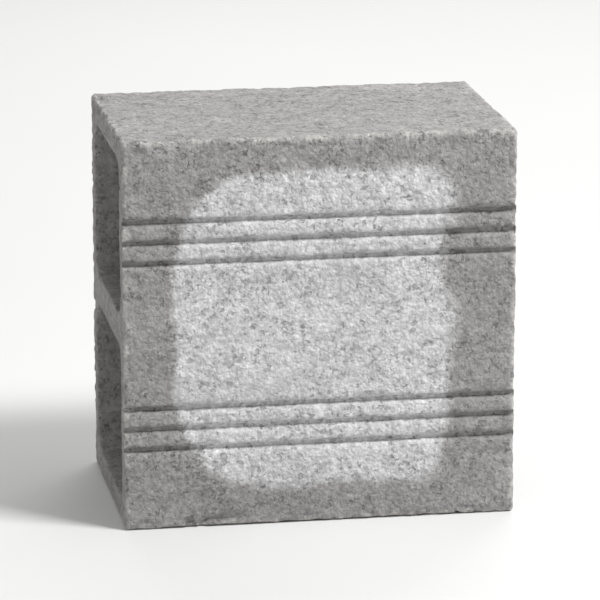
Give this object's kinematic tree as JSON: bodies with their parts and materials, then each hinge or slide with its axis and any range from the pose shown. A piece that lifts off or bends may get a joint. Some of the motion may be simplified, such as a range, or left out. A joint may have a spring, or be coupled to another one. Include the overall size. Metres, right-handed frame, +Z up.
{
  "type": "hollow concrete block",
  "caption": "Square-faced hollow concrete wall block with horizontal cells open at both ends and groups of fine key grooves along both faces.",
  "frame": {"origin": "middle of the lower bed face", "axes": "+X along the wall and along the cells, towards the end where the walls are thickest; +Y through the wall, from the front face to the back; +Z up"},
  "size_m": [0.19, 0.12, 0.19],
  "materials": {
    "concrete": "matte, fine open texture"
  },
  "bodies": {
    "root": {"hollow_block": "concrete"}
  },
  "joints": []
}
